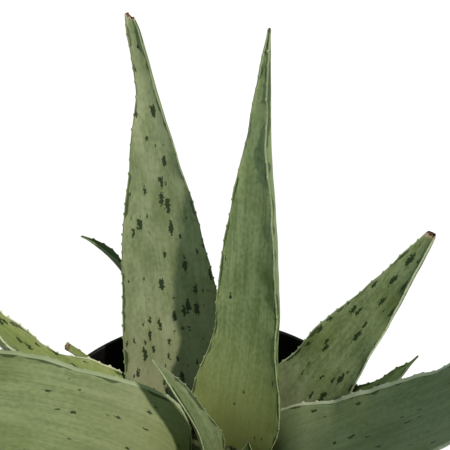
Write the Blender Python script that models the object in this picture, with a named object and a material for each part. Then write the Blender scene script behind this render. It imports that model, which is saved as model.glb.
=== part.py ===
"""Potted snow drift aloe: a rosette of channelled, toothed leaves on a low crown in a thin black pot.

The origin is the centre of the pot's flat underside and +Z is up. Lengths are written in millimetres
and turned into metres by MM where a mesh is made. Angles are degrees. The pot, the soil, the stem and
every leaf are separate closed solids that stand GAP apart where they touch.
"""

import math
from dataclasses import dataclass

import bmesh
import bpy
import numpy as np

MM = 0.001

# Pot
AXIS = (0.0, 0.0)
RIM_RADIUS = 77.5
POT_HEIGHT = 130.0
BASE_RADIUS = 54.0
WALL = 1.8
FLOOR = 2.6
BASE_EDGE_RADIUS = 4.0
COLLAR_HEIGHT = 13.0
COLLAR_STEP = 2.2
COLLAR_TAPER = 1.0
LIP_RADIUS = 1.0
DRAIN_HOLES = 6
DRAIN_RADIUS = 4.5
DRAIN_CIRCLE_RADIUS = 38.0
DRAIN_FIRST_ANGLE = 18.0

# Crown, stem and soil
CROWN_CENTRE = (9.0, 0.0)
CROWN_RADIUS = 52.0
CROWN_BELOW_RIM = 20.0
CROWN_DROP = 7.1
STEM_SHOULDER = 5.0
STEM_WAIST_RADIUS = 30.0
STEM_WAIST_DEPTH = 38.0
STEM_TOE_RADIUS = 14.0
STEM_DEPTH = 72.0
GAP = 0.3

# How finely the solids are faceted
SEGMENTS = 48
DRAIN_SEGMENTS = 16
LIP_STEPS = 4
EDGE_STEPS = 3
STATION_PITCH = 5.2
FEWEST_STATIONS = 8
FINE_SAMPLES = 301

# Leaf blades: places along a leaf, from 0 at the foot to 1 at the tip, at which its shape is given
CLIMB_AT = (0.0, 0.12, 0.5, 1.0)
WIDTH_AT = (0.0, 0.12, 0.3, 0.5, 0.7, 0.85, 0.95, 1.0)
FOLD_AT = (0.0, 0.15, 0.6, 1.0)
MARGIN_THICKNESS = 0.8
THINNING_START = 1.6
THINNING_POWER = 0.8
TOOTH_HEIGHT = 0.7
FOOT_BELOW_CROWN = 5.0
LEAST_HALF_WIDTH = 0.7


@dataclass(frozen=True)
class Leaf:
    """One leaf, given by the line of its midrib and the channelled section carried along it.

    foot: where the midrib meets the crown, on plan
    heading, turn: direction of the foot on plan from +X, and how far the tip has turned from it
    climb: slope of the midrib above level at CLIMB_AT
    length: length along the midrib
    roll: how far the blade is turned about its midrib at the foot and at the tip
    half_widths: half the width across the curved face at WIDTH_AT, without the tip's
    folds: half the angle through which the section curves at FOLD_AT
    thickness: thickness at the midrib near the foot
    tip_half_width: half the width at the tip
    strips: how many strips each face is divided into across the blade
    """

    name: str
    foot: tuple
    heading: float
    turn: float
    climb: tuple
    length: float
    roll: tuple
    half_widths: tuple
    folds: tuple
    thickness: float
    tip_half_width: float = 0.8
    strips: int = 6


LEAVES = (
    Leaf(
        name="leaf_tall_left",
        foot=(-10, 27),
        heading=98,
        turn=16.5,
        climb=(81, 58.5, 80, 49),
        length=206,
        roll=(-8, -42),
        half_widths=(14, 27, 24.5, 20, 12, 5, 4),
        folds=(34, 15, 45, 97),
        thickness=5.5,
        tip_half_width=2,
    ),
    Leaf(
        name="leaf_tall_centre",
        foot=(16, 12),
        heading=65.5,
        turn=-5,
        climb=(85.5, 71.5, 86, 77.5),
        length=206,
        roll=(3, -6.5),
        half_widths=(15.5, 26.5, 19, 16.5, 9.5, 4.5, 1.5),
        folds=(57, 61, 74, 128),
        thickness=5.5,
    ),
    Leaf(
        name="leaf_right",
        foot=(37, 17),
        heading=24,
        turn=7.5,
        climb=(74.5, 56.5, 45, 52.5),
        length=126,
        roll=(14.5, 2),
        half_widths=(12, 26, 20.5, 17, 11.5, 7.5, 4.5),
        folds=(34, 24, 48, 84),
        thickness=5,
        tip_half_width=3,
    ),
    Leaf(
        name="leaf_low_right",
        foot=(52, 6),
        heading=-16,
        turn=16.5,
        climb=(49.5, 68, 55.5, 54.5),
        length=82,
        roll=(1, 3.5),
        half_widths=(5, 5.5, 7.5, 12.5, 6.5, 3.5, 1),
        folds=(41, 32, 29, 51),
        thickness=2.4,
        strips=4,
    ),
    Leaf(
        name="leaf_broad_left",
        foot=(-20, -13.5),
        heading=184,
        turn=4.5,
        climb=(95.5, 43, 19.5, 11),
        length=196,
        roll=(-31, 8.5),
        half_widths=(14, 33.5, 32.5, 35.5, 27, 18, 9),
        folds=(39, 27, 14, 45),
        thickness=7,
    ),
    Leaf(
        name="leaf_broad_right",
        foot=(37, -14),
        heading=-25.5,
        turn=-5,
        climb=(92, 43.5, 47, 52),
        length=215,
        roll=(16.5, 1.5),
        half_widths=(34.5, 30.5, 27, 25.5, 18.5, 13, 7),
        folds=(76, 32, 12, 60),
        thickness=7,
    ),
    Leaf(
        name="leaf_back_left",
        foot=(-31.5, 21.5),
        heading=181,
        turn=-10.5,
        climb=(70, 43, 48.5, 21.5),
        length=146,
        roll=(-24, 23),
        half_widths=(5, 23, 19, 9.5, 9.5, 5.5, 3.5),
        folds=(39, 28, 60, 81),
        thickness=4.5,
    ),
    Leaf(
        name="leaf_hidden_left",
        foot=(-3, 41),
        heading=131,
        turn=24,
        climb=(45, 53.5, 60.5, 5),
        length=111,
        roll=(0, 0.5),
        half_widths=(8, 10, 9, 6.5, 2.5, 1.5, 1),
        folds=(50, 45, 55, 79),
        thickness=4,
    ),
    Leaf(
        name="leaf_stub",
        foot=(-28.5, 38),
        heading=170,
        turn=4,
        climb=(39, 50.5, 53, 33.5),
        length=59,
        roll=(-1.5, 2.5),
        half_widths=(4, 2.5, 2, 3.5, 3, 2.5, 2.5),
        folds=(46, 38, 34, 35),
        thickness=1.8,
        tip_half_width=3.2,
        strips=4,
    ),
    Leaf(
        name="leaf_young",
        foot=(5, -11),
        heading=149.5,
        turn=6,
        climb=(80, 88, 61, 46),
        length=73,
        roll=(-2, -4.5),
        half_widths=(6, 7, 8, 5.5, 4.5, 2.5, 1),
        folds=(39, 31, 41, 41),
        thickness=3,
        strips=4,
    ),
    Leaf(
        name="leaf_heart",
        foot=(19.5, -3.5),
        heading=75,
        turn=0,
        climb=(80, 82, 84, 88),
        length=17,
        roll=(0, 0),
        half_widths=(7, 10, 10, 8, 5.5, 3, 1.2),
        folds=(70, 70, 70, 70),
        thickness=2,
        strips=4,
    ),
    Leaf(
        name="leaf_front_left",
        foot=(-6, -18),
        heading=226,
        turn=6,
        climb=(72, 42, 34, 22),
        length=118,
        roll=(0, 0),
        half_widths=(14.5, 18, 19, 16, 11, 6.5, 3),
        folds=(50, 46, 52, 75),
        thickness=5,
    ),
    Leaf(
        name="leaf_front",
        foot=(5, -41),
        heading=258,
        turn=2,
        climb=(74, 54, 28, 12),
        length=139,
        roll=(0, 0),
        half_widths=(15, 19, 20, 18, 13, 8, 4),
        folds=(40, 34, 40, 60),
        thickness=5.5,
    ),
    Leaf(
        name="leaf_front_right",
        foot=(21, -24),
        heading=288,
        turn=-4,
        climb=(75, 56, 38, 24),
        length=135,
        roll=(0, 0),
        half_widths=(12.5, 16, 18.5, 17.5, 12.5, 8, 4),
        folds=(55, 50, 50, 70),
        thickness=5.5,
    ),
)

# Finishes
POT_COLOUR = "0C0C0C"
POT_ROUGHNESS = 0.45
SOIL_COLOUR = "3A2A1E"
SOIL_ROUGHNESS = 0.95
STEM_COLOUR = "7C7A4A"
STEM_ROUGHNESS = 0.7
LEAF_COLOUR = "7F8A60"
LEAF_ROUGHNESS = 0.45
LEAF_SHARP_ANGLE = 60.0
ROUND_SHARP_ANGLE = 40.0
LEAF_COLOURS = {
    "leaf_tall_centre": "6E8050",
    "leaf_broad_right": "5B6B40",
    "leaf_back_left": "A9B970",
    "leaf_hidden_left": "4A5A30",
    "leaf_stub": "8A6A48",
    "leaf_young": "8A9468",
    "leaf_heart": "93A06C",
}


def linear(hex_colour):
    """The linear RGB values of an sRGB hex colour, with alpha 1."""
    channels = [int(hex_colour[i : i + 2], 16) / 255 for i in (0, 2, 4)]
    return [c / 12.92 if c <= 0.04045 else ((c + 0.055) / 1.055) ** 2.4 for c in channels] + [1.0]


def finish(name, hex_colour, roughness):
    """A Principled material named after its node."""
    material = bpy.data.materials.new(name)
    material.use_nodes = True
    shader = material.node_tree.nodes["Principled BSDF"]
    shader.inputs["Base Color"].default_value = linear(hex_colour)
    shader.inputs["Roughness"].default_value = roughness
    shader.inputs["Metallic"].default_value = 0.0
    return material


def new_solid(name, points, faces, material, sharp_angle=ROUND_SHARP_ANGLE):
    """A closed mesh object from points in millimetres, with its faces turned outwards."""
    mesh = bpy.data.meshes.new(name)
    mesh.from_pydata((np.asarray(points) * MM).tolist(), [], faces)
    sides = bmesh.new()
    sides.from_mesh(mesh)
    bmesh.ops.recalc_face_normals(sides, faces=sides.faces)
    sides.to_mesh(mesh)
    sides.free()
    mesh.shade_smooth()
    mesh.set_sharp_from_angle(angle=math.radians(sharp_angle))
    mesh.materials.append(material)
    solid = bpy.data.objects.new(name, mesh)
    bpy.context.scene.collection.objects.link(solid)
    return solid


def arc(centre, radius, start, end, steps):
    """Points on an arc of the profile plane, from the start angle to the end angle."""
    angles = np.radians(np.linspace(start, end, steps + 1))
    return [(centre[0] + radius * math.cos(a), centre[1] + radius * math.sin(a)) for a in angles]


def turned(name, rings, bottom, top, material, segments=SEGMENTS):
    """A closed solid through level rings of (x, y, radius, height), between two end points."""
    around = np.linspace(0, 2 * math.pi, segments, endpoint=False)
    points = [bottom, top]
    for x, y, radius, height in rings:
        ring = (x + radius * np.cos(around), y + radius * np.sin(around), np.full(segments, height))
        points.extend(zip(*ring))
    first, last = 2, 2 + segments * (len(rings) - 1)
    faces = []
    for j in range(segments):
        k = (j + 1) % segments
        faces.append((0, first + k, first + j))
        faces.append((1, last + j, last + k))
        for ring in range(first, last, segments):
            faces.append((ring + j, ring + k, ring + segments + k, ring + segments + j))
    return new_solid(name, points, faces, material)


def about(centre, profile):
    """Rings of a profile of (radius, height) points turned about an upright axis."""
    return [(*centre, radius, height) for radius, height in profile]


def wall_radius(height):
    """The outside radius of the pot's plain wall at a height above its underside."""
    top = POT_HEIGHT - COLLAR_HEIGHT
    top_radius = RIM_RADIUS - COLLAR_TAPER - COLLAR_STEP
    return BASE_RADIUS + (top_radius - BASE_RADIUS) * height / top


def drain_cutter(index, material):
    """One upright cylinder that cuts a drain hole through the pot's floor."""
    angle = math.radians(DRAIN_FIRST_ANGLE + 360 * index / DRAIN_HOLES)
    x, y = DRAIN_CIRCLE_RADIUS * math.cos(angle), DRAIN_CIRCLE_RADIUS * math.sin(angle)
    below, above = -FLOOR, 2 * FLOOR
    rings = [(x, y, DRAIN_RADIUS, below), (x, y, DRAIN_RADIUS, above)]
    ends = (x, y, below), (x, y, above)
    cutter = turned(f"drain_cutter_{index}", rings, *ends, material, DRAIN_SEGMENTS)
    cutter.hide_render = True
    cutter.display_type = "WIRE"
    return cutter


def make_pot():
    """The thin pot: a tapered wall under a stepped collar with a rolled lip, and a floor with drain holes."""
    collar = POT_HEIGHT - COLLAR_HEIGHT
    collar_radius = RIM_RADIUS - COLLAR_TAPER
    edge = (BASE_RADIUS - BASE_EDGE_RADIUS, BASE_EDGE_RADIUS)
    lip = (RIM_RADIUS - LIP_RADIUS, POT_HEIGHT - LIP_RADIUS)
    profile = arc(edge, BASE_EDGE_RADIUS, -90, 0, EDGE_STEPS)
    profile += [(wall_radius(collar), collar), (collar_radius, collar + COLLAR_STEP)]
    profile += arc(lip, LIP_RADIUS, 0, 180, LIP_STEPS)
    profile += [
        (collar_radius - WALL, collar + COLLAR_STEP + WALL),
        (wall_radius(collar) - WALL, collar - WALL),
        (wall_radius(FLOOR) - WALL, FLOOR),
    ]
    black = finish("pot", POT_COLOUR, POT_ROUGHNESS)
    pot = turned("pot", about(AXIS, profile), (0, 0, 0), (0, 0, FLOOR), black)
    for index in range(DRAIN_HOLES):
        cut = pot.modifiers.new(f"drain_{index}", "BOOLEAN")
        cut.operation = "DIFFERENCE"
        cut.object = drain_cutter(index, black)


def crown_height(x, y):
    """Height above the pot's underside of the crown's cone over a point on plan, level past its edge."""
    out = np.minimum(np.hypot(x - CROWN_CENTRE[0], y - CROWN_CENTRE[1]), CROWN_RADIUS)
    return POT_HEIGHT - CROWN_BELOW_RIM - CROWN_DROP * out / CROWN_RADIUS


def stem_side(clearance):
    """The stem's side from its toe up to the crown's edge, grown outwards by the clearance."""
    edge = POT_HEIGHT - CROWN_BELOW_RIM - CROWN_DROP
    return [
        (STEM_TOE_RADIUS + clearance, edge - STEM_DEPTH - clearance),
        (STEM_WAIST_RADIUS + clearance, edge - STEM_WAIST_DEPTH - clearance),
        (CROWN_RADIUS + clearance, edge - STEM_SHOULDER - clearance),
        (CROWN_RADIUS + clearance, edge),
    ]


def make_stem():
    """The short stem, which widens upwards into the low cone that carries the leaves."""
    side = stem_side(0.0)
    toe = (*CROWN_CENTRE, side[0][1])
    apex = (*CROWN_CENTRE, POT_HEIGHT - CROWN_BELOW_RIM)
    turned("stem", about(CROWN_CENTRE, side), toe, apex, finish("stem", STEM_COLOUR, STEM_ROUGHNESS))


def make_soil():
    """The soil that fills the pot round the stem. Its outside follows the pot and its pit the stem."""
    pit = list(reversed(stem_side(GAP)))
    floor, top = FLOOR + GAP, pit[0][1]
    outside = [(wall_radius(z) - WALL - GAP, z) for z in (floor, top)]
    rings = about(AXIS, outside) + about(CROWN_CENTRE, pit)
    ends = (0, 0, floor), (*CROWN_CENTRE, pit[-1][1])
    turned("soil", rings, *ends, finish("soil", SOIL_COLOUR, SOIL_ROUGHNESS))


def end_slope(near_step, far_step, near_slope, far_slope):
    """The slope of a smooth curve at one of its ends, from the slopes of the two stretches beside it."""
    slope = ((2 * near_step + far_step) * near_slope - near_step * far_slope) / (near_step + far_step)
    if slope * near_slope <= 0:
        return 0.0
    if near_slope * far_slope < 0 and abs(slope) > abs(3 * near_slope):
        return 3 * near_slope
    return slope


def smooth_through(places, values, at):
    """A smooth curve through the values that never overshoots them, read at the places wanted."""
    places, values = np.asarray(places, float), np.asarray(values, float)
    step, slope = np.diff(places), np.diff(values) / np.diff(places)
    tangent = np.zeros(len(places))
    tangent[0] = end_slope(step[0], step[1], slope[0], slope[1])
    tangent[-1] = end_slope(step[-1], step[-2], slope[-1], slope[-2])
    for k in range(1, len(places) - 1):
        if slope[k - 1] * slope[k] > 0:
            before, after = 2 * step[k] + step[k - 1], step[k] + 2 * step[k - 1]
            tangent[k] = (before + after) / (before / slope[k - 1] + after / slope[k])
    i = np.clip(np.searchsorted(places, at, side="right") - 1, 0, len(step) - 1)
    t = (at - places[i]) / step[i]
    start = values[i] * (1 + 2 * t) * (1 - t) ** 2 + tangent[i] * step[i] * t * (1 - t) ** 2
    end = values[i + 1] * t**2 * (3 - 2 * t) + tangent[i + 1] * step[i] * t**2 * (t - 1)
    return start + end


def midrib(leaf, along):
    """The midrib's points with the crosswise and facing directions of the blade at each of them."""
    heading = np.radians(leaf.heading + leaf.turn * along)
    climb = np.radians(smooth_through(CLIMB_AT, leaf.climb, along))
    level = np.stack([np.cos(heading), np.sin(heading), 0 * along], -1)
    up = np.array([0.0, 0.0, 1.0])
    forward = np.cos(climb)[:, None] * level + np.sin(climb)[:, None] * up
    steps = (forward[1:] + forward[:-1]) / 2 * leaf.length / (len(along) - 1)
    foot = np.array([*leaf.foot, crown_height(*leaf.foot) - FOOT_BELOW_CROWN])
    points = foot + np.concatenate([np.zeros((1, 3)), np.cumsum(steps, 0)])
    across = np.stack([-np.sin(heading), np.cos(heading), 0 * along], -1)
    facing = np.cross(forward, across)
    roll = np.radians(leaf.roll[0] + (leaf.roll[1] - leaf.roll[0]) * along)[:, None]
    rolled_across = np.cos(roll) * across + np.sin(roll) * facing
    rolled_facing = np.cos(roll) * facing - np.sin(roll) * across
    return points, rolled_across, rolled_facing


def blade(leaf, along):
    """The inner and outer faces of a blade as grids of points, stations by lines.

    The section is an arc, thick at the midrib and thin at the margins.
    """
    points, across, facing = midrib(leaf, along)
    half = smooth_through(WIDTH_AT, leaf.half_widths + (leaf.tip_half_width,), along)
    fold = np.radians(smooth_through(FOLD_AT, leaf.folds, along))[:, None]
    radius = np.maximum(half, LEAST_HALF_WIDTH)[:, None] / fold
    side = np.linspace(-1, 1, leaf.strips + 1)[None]
    angle = side * fold
    x = radius * np.sin(angle)
    rise = radius * (1 - np.cos(angle))
    inner = points[:, None] + x[..., None] * across[:, None] + rise[..., None] * facing[:, None]
    thinning = np.minimum(1, (1 - along) * THINNING_START) ** THINNING_POWER
    middle = (leaf.thickness - MARGIN_THICKNESS) * thinning[:, None]
    thick = MARGIN_THICKNESS + middle * (1 - side**2)
    outward = np.sin(angle)[..., None] * across[:, None] - np.cos(angle)[..., None] * facing[:, None]
    return inner, inner + thick[..., None] * outward


def standing_on_crown(line, along, stations):
    """A line of the blade, resampled at even stations from where it rises off the crown."""
    clear = line[:, 2] - crown_height(line[:, 0], line[:, 1]) - GAP
    below = np.flatnonzero(clear < 0)[-1]
    part = clear[below] / (clear[below] - clear[below + 1])
    start = along[below] + part * (along[below + 1] - along[below])
    wanted = start + (1 - start) * stations
    return np.stack([np.interp(wanted, along, line[:, axis]) for axis in range(3)], -1)


def blade_faces(stations, lines):
    """The triangles that close two like grids of points, inner first, split alike on both faces."""
    size = stations * lines
    faces = []
    for i in range(stations - 1):
        for j in range(lines - 1):
            a = i * lines + j
            b, c, d = a + 1, a + lines, a + lines + 1
            faces += [(a, b, d), (a, d, c)]
            faces += [(a + size, d + size, b + size), (a + size, c + size, d + size)]
        for j, turn in ((0, 1), (lines - 1, -1)):
            a = i * lines + j
            c = a + lines
            faces += [(a, c, c + size)[::turn], (a, c + size, a + size)[::turn]]
    for i, turn in ((0, 1), (stations - 1, -1)):
        for j in range(lines - 1):
            a = i * lines + j
            b = a + 1
            faces += [(a, a + size, b + size)[::turn], (a, b + size, b)[::turn]]
    return faces


def raise_teeth(inner, outer):
    """Moves both margins outwards at every second station, which leaves a low tooth there."""
    for edge, beside in ((0, 1), (-1, -2)):
        out = inner[1:-1:2, edge] - inner[1:-1:2, beside]
        out *= TOOTH_HEIGHT / np.linalg.norm(out, axis=1, keepdims=True)
        inner[1:-1:2, edge] += out
        outer[1:-1:2, edge] += out


def make_leaf(leaf):
    """One leaf: its channelled, toothed blade, which starts just above the crown that carries it."""
    along = np.linspace(0, 1, FINE_SAMPLES)
    count = max(FEWEST_STATIONS, round(leaf.length / STATION_PITCH))
    stations = np.linspace(0, 1, count)
    faces = []
    for face in blade(leaf, along):
        lines = [standing_on_crown(line, along, stations) for line in np.swapaxes(face, 0, 1)]
        faces.append(np.stack(lines, 1))
    raise_teeth(*faces)
    points = np.concatenate([face.reshape(-1, 3) for face in faces])
    colour = LEAF_COLOURS.get(leaf.name, LEAF_COLOUR)
    material = finish(leaf.name, colour, LEAF_ROUGHNESS)
    return new_solid(leaf.name, points, blade_faces(count, leaf.strips + 1), material, LEAF_SHARP_ANGLE)


def main():
    """Clears the scene, then builds the pot, the soil, the stem and the leaves."""
    for old in list(bpy.data.objects):
        bpy.data.objects.remove(old, do_unlink=True)
    make_pot()
    make_soil()
    make_stem()
    for leaf in LEAVES:
        make_leaf(leaf)


main()
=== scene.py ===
"""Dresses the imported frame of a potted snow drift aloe.

Sizes are in millimetres in the frame's own axes: the origin is the centre of the pot's underside, +Z is
up and -Y is towards the camera. MM turns them into metres as a mesh is made. Angles are degrees.
"""

import logging
import math
from dataclasses import dataclass
from enum import Enum
from typing import Any, Sequence

import bpy
import numpy as np
from mathutils import Matrix, Vector


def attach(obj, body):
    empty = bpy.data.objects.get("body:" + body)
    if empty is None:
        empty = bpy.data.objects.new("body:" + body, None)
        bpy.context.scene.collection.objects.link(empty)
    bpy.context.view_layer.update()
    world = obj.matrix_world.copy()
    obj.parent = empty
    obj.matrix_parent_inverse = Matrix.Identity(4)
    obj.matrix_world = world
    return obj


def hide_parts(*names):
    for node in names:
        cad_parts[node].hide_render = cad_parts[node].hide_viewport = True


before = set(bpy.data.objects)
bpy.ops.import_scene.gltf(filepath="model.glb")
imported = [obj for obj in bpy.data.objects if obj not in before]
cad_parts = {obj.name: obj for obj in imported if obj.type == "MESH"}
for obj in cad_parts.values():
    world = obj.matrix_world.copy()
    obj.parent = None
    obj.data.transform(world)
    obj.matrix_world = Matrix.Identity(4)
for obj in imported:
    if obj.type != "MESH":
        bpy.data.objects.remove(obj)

LOG = logging.getLogger("aloe")
MM = 0.001

# The pot, its filling and the crown, repeated from the part's source
RIM_RADIUS = 77.5
POT_HEIGHT = 130.0
BASE_RADIUS = 54.0
WALL = 1.8
FLOOR = 2.6
COLLAR_HEIGHT = 13.0
COLLAR_STEP = 2.2
COLLAR_TAPER = 1.0
CROWN_CENTRE = (9.0, 0.0)
CROWN_RADIUS = 52.0
CROWN_BELOW_RIM = 20.0
CROWN_DROP = 7.1
GAP = 0.3

# The rules of a leaf's blade, repeated from the part's source
CLIMB_AT = (0.0, 0.12, 0.5, 1.0)
WIDTH_AT = (0.0, 0.12, 0.3, 0.5, 0.7, 0.85, 0.95, 1.0)
FOLD_AT = (0.0, 0.15, 0.6, 1.0)
MARGIN_THICKNESS = 0.8
THINNING_START = 1.6
THINNING_POWER = 0.8
FOOT_BELOW_CROWN = 5.0

# Teeth: the gaps between them, their share of the tallest, the way each rises and drops, how far in from
# the margin it starts and how far it leans
TOOTH_GAPS = (4.0, 8.0)
TOOTH_SIZES = (0.45, 1.0)
TOOTH_RISE = 1.1
TOOTH_DROP = 0.5
TOOTH_REACH = 0.9
TOOTH_LEAN = 0.4

# Waves of the margin, the share and length of each, and the ends over which they fade. Low lumps: height,
# spacing, and the way from the margin over which they come up
WAVES = ((1, 52), (0.6, 31), (0.35, 19), (0.2, 11))
WAVES_FADE = (30, 25)
LUMP_HEIGHT = 0.22
LUMP_CELL = 13
LUMP_EASE = 3

# Tips: the rounding of a whole and of a broken end, what is left open at the very end, how much a thorn
# slims, how much less a drawn-in tip thins than it narrows, and the depth and reach of a tear
WHOLE_END = 1.2
BROKEN_END = 0.7
LEFT_OPEN = 0.02
THORN = 0.6
FULLNESS = 0.8
TORN_DEPTH = 0.55
TORN_REACH = 4

# How squarely a section rounds at its margins, where its bead stands and how wide it is as shares of the
# pale band, how far each leaf's pattern is from the next one's, and what a blade keeps for its skin
SQUARENESS = 8
BEAD_PLACE = 0.5
BEAD_WIDTH = 0.45
PATTERN_STEP = (61, 97)
KEPT = ("margin_mm", "tip_mm", "share", "outer_face")

# Squares along a side of the lumps' lattice before it repeats
LATTICE = 128


def linear(hex_colour: str) -> tuple[float, float, float, float]:
    """Turn an sRGB hex colour into linear RGB with alpha 1.

    Args:
        hex_colour: Six hex digits.

    Returns:
        The linear red, green and blue, and 1.
    """
    channels = [int(hex_colour[i : i + 2], 16) / 255 for i in (0, 2, 4)]
    red, green, blue = (c / 12.92 if c <= 0.04045 else ((c + 0.055) / 1.055) ** 2.4 for c in channels)
    return red, green, blue, 1.0


def smooth_step(start: float, end: float, at: np.ndarray) -> np.ndarray:
    """Rise smoothly from 0 at start to 1 at end: 3t^2 - 2t^3 with t held between 0 and 1."""
    t = np.clip((at - start) / (end - start), 0, 1)
    return t * t * (3 - 2 * t)


def end_slope(steps: np.ndarray, slopes: np.ndarray) -> float:
    """Give a smooth curve's slope at its end from the two stretches beside it, the nearest first.

    Args:
        steps: Lengths of the two stretches.
        slopes: Their slopes.

    Returns:
        The three-point slope, kept from overshooting.
    """
    slope = ((2 * steps[0] + steps[1]) * slopes[0] - steps[0] * slopes[1]) / (steps[0] + steps[1])
    if slope * slopes[0] <= 0:
        return 0.0
    if slopes[0] * slopes[1] < 0 and abs(slope) > abs(3 * slopes[0]):
        return 3 * slopes[0]
    return slope


def smooth_through(places: Sequence[float], values: Sequence[float], at: np.ndarray) -> np.ndarray:
    """Read a smooth curve that passes through given values and never overshoots them.

    Between two places it is the cubic with the tangents of both. A tangent is the weighted harmonic mean
    of the slopes on its two sides, and 0 where they differ in sign.

    Args:
        places: Where the values are given, rising.
        values: The value at each place.
        at: Where the curve is read.

    Returns:
        The curve at each of those places.
    """
    place, value = np.asarray(places, float), np.asarray(values, float)
    step, slope = np.diff(place), np.diff(value) / np.diff(place)
    tangent = np.zeros(len(place))
    before, after = 2 * step[1:] + step[:-1], step[1:] + 2 * step[:-1]
    same = slope[:-1] * slope[1:] > 0
    left, right = np.where(same, slope[:-1], 1.0), np.where(same, slope[1:], 1.0)
    tangent[1:-1] = np.where(same, (before + after) / (before / left + after / right), 0.0)
    tangent[0], tangent[-1] = end_slope(step, slope), end_slope(step[::-1], slope[::-1])
    i = np.clip(np.searchsorted(place, at, side="right") - 1, 0, len(step) - 1)
    t = (at - place[i]) / step[i]
    start = value[i] * (1 + 2 * t) * (1 - t) ** 2 + tangent[i] * step[i] * t * (1 - t) ** 2
    end = value[i + 1] * t**2 * (3 - 2 * t) + tangent[i + 1] * step[i] * t**2 * (t - 1)
    return start + end


def crown_height(x: np.ndarray, y: np.ndarray) -> np.ndarray:
    """Give the height of the crown's cone over points on plan: it falls evenly to its edge, then is level."""
    out = np.minimum(np.hypot(x - CROWN_CENTRE[0], y - CROWN_CENTRE[1]), CROWN_RADIUS)
    return POT_HEIGHT - CROWN_BELOW_RIM - CROWN_DROP * out / CROWN_RADIUS


def wall_radius(height: float) -> float:
    """Give the outside radius of the pot's plain wall at a height."""
    top = RIM_RADIUS - COLLAR_TAPER - COLLAR_STEP
    return BASE_RADIUS + (top - BASE_RADIUS) * height / (POT_HEIGHT - COLLAR_HEIGHT)


def grain(x: np.ndarray, y: np.ndarray, cell: float, seed: int) -> np.ndarray:
    """Give lumpy relief: random heights at the corners of a square lattice, blended smoothly between them.

    Args:
        x: Places across.
        y: Places along.
        cell: Side of a lattice square.
        seed: Seed of the random heights.

    Returns:
        Heights from -1 to 1, in the shape of x.
    """
    lattice = np.random.default_rng(seed).uniform(-1, 1, (LATTICE, LATTICE))
    column, row = np.floor(x / cell).astype(int), np.floor(y / cell).astype(int)
    tx, ty = smooth_step(0, 1, x / cell - column), smooth_step(0, 1, y / cell - row)
    near, far = (
        lattice[(row + b) % LATTICE, column % LATTICE] * (1 - tx)
        + lattice[(row + b) % LATTICE, (column + 1) % LATTICE] * tx
        for b in (0, 1)
    )
    return near * (1 - ty) + far * ty


def closed_skin(grid: np.ndarray) -> tuple[np.ndarray, list[np.ndarray]]:
    """Close a grid of rings, carried along a path, with a point in the middle of its first and last rings.

    Args:
        grid: The points, rings by places round them.

    Returns:
        The points in rows, the two middles last, and the four-sided and the three-sided faces.
    """
    rows, ring = grid.shape[:2]
    row, j = np.meshgrid(np.arange(rows - 1) * ring, np.arange(ring), indexing="ij")
    k = (j + 1) % ring
    quads = np.stack([row + j, row + ring + j, row + ring + k, row + k], -1).reshape(-1, 4)
    j, k, last, size = j[0], k[0], (rows - 1) * ring, rows * ring
    start = np.stack([np.full(ring, size), j, k], -1)
    end = np.stack([np.full(ring, size + 1), last + k, last + j], -1)
    points = np.concatenate([grid.reshape(-1, 3), [grid[0].mean(0), grid[-1].mean(0)]])
    return points, [quads, np.concatenate([start, end])]


def new_piece(name: str, points: np.ndarray, faces: Sequence[np.ndarray]) -> bpy.types.Object:
    """Make a smooth mesh object at the origin from points in millimetres.

    Args:
        name: The piece's name.
        points: Its points, one row each.
        faces: Arrays of faces, one row of point numbers each.

    Returns:
        The new object, linked to the scene.
    """
    mesh = bpy.data.meshes.new(name)
    mesh.from_pydata((points * MM).tolist(), [], [face for part in faces for face in part.tolist()])
    mesh.shade_smooth()
    piece = bpy.data.objects.new(name, mesh)
    bpy.context.scene.collection.objects.link(piece)
    return piece


def add_node(
    tree: bpy.types.NodeTree,
    kind: str,
    feeds: Sequence[Any] | dict[str | int, Any] = (),
    **settings: Any,
) -> bpy.types.bpy_prop_collection:
    """Add a shader node with its settings, and link or set its inputs.

    Args:
        tree: The node tree.
        kind: The node's type, less its leading "ShaderNode".
        feeds: The output or the value that feeds each input, in order or by the input's name or number.
        settings: The node's own settings.

    Returns:
        The new node's outputs.
    """
    node = tree.nodes.new(f"ShaderNode{kind}")
    for name, value in settings.items():
        setattr(node, name, value)
    for name, value in (feeds if isinstance(feeds, dict) else dict(enumerate(feeds))).items():
        if isinstance(value, bpy.types.NodeSocket):
            tree.links.new(value, node.inputs[name])
        else:
            node.inputs[name].default_value = value
    return node.outputs


def new_material(name: str) -> tuple[bpy.types.Material, bpy.types.NodeTree]:
    """Make an empty node material.

    Args:
        name: Its name.

    Returns:
        The material and its node tree.
    """
    material = bpy.data.materials.new(name)
    material.use_nodes = True
    material.node_tree.nodes.clear()
    return material, material.node_tree


def end_material(
    tree: bpy.types.NodeTree,
    base: str,
    layers: Sequence[tuple[str, Any]],
    roughness: Any,
    height: Any,
    depth: float,
    strength: float,
    ior: float = 1.5,
) -> None:
    """End a material: colours laid over one another, and relief, on a principled surface.

    Args:
        tree: The material's node tree.
        base: The undermost colour.
        layers: The colours over it, each with the output that gives its share.
        roughness: The output that gives the roughness, or one number.
        height: The output that gives the relief.
        depth: The relief's depth in millimetres.
        strength: How strongly the relief shows.
        ior: Index of refraction.
    """
    colour: Any = linear(base)
    for over, share in layers:
        colour = add_node(tree, "Mix", {0: share, 6: colour, 7: linear(over)}, data_type="RGBA")[2]
    bump = add_node(tree, "Bump", {"Strength": strength, "Distance": depth * MM, "Height": height})
    feeds = {"Base Color": colour, "Roughness": roughness, "Normal": bump[0], "IOR": ior}
    shader = add_node(tree, "BsdfPrincipled", feeds)
    add_node(tree, "OutputMaterial", (shader[0],))


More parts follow.
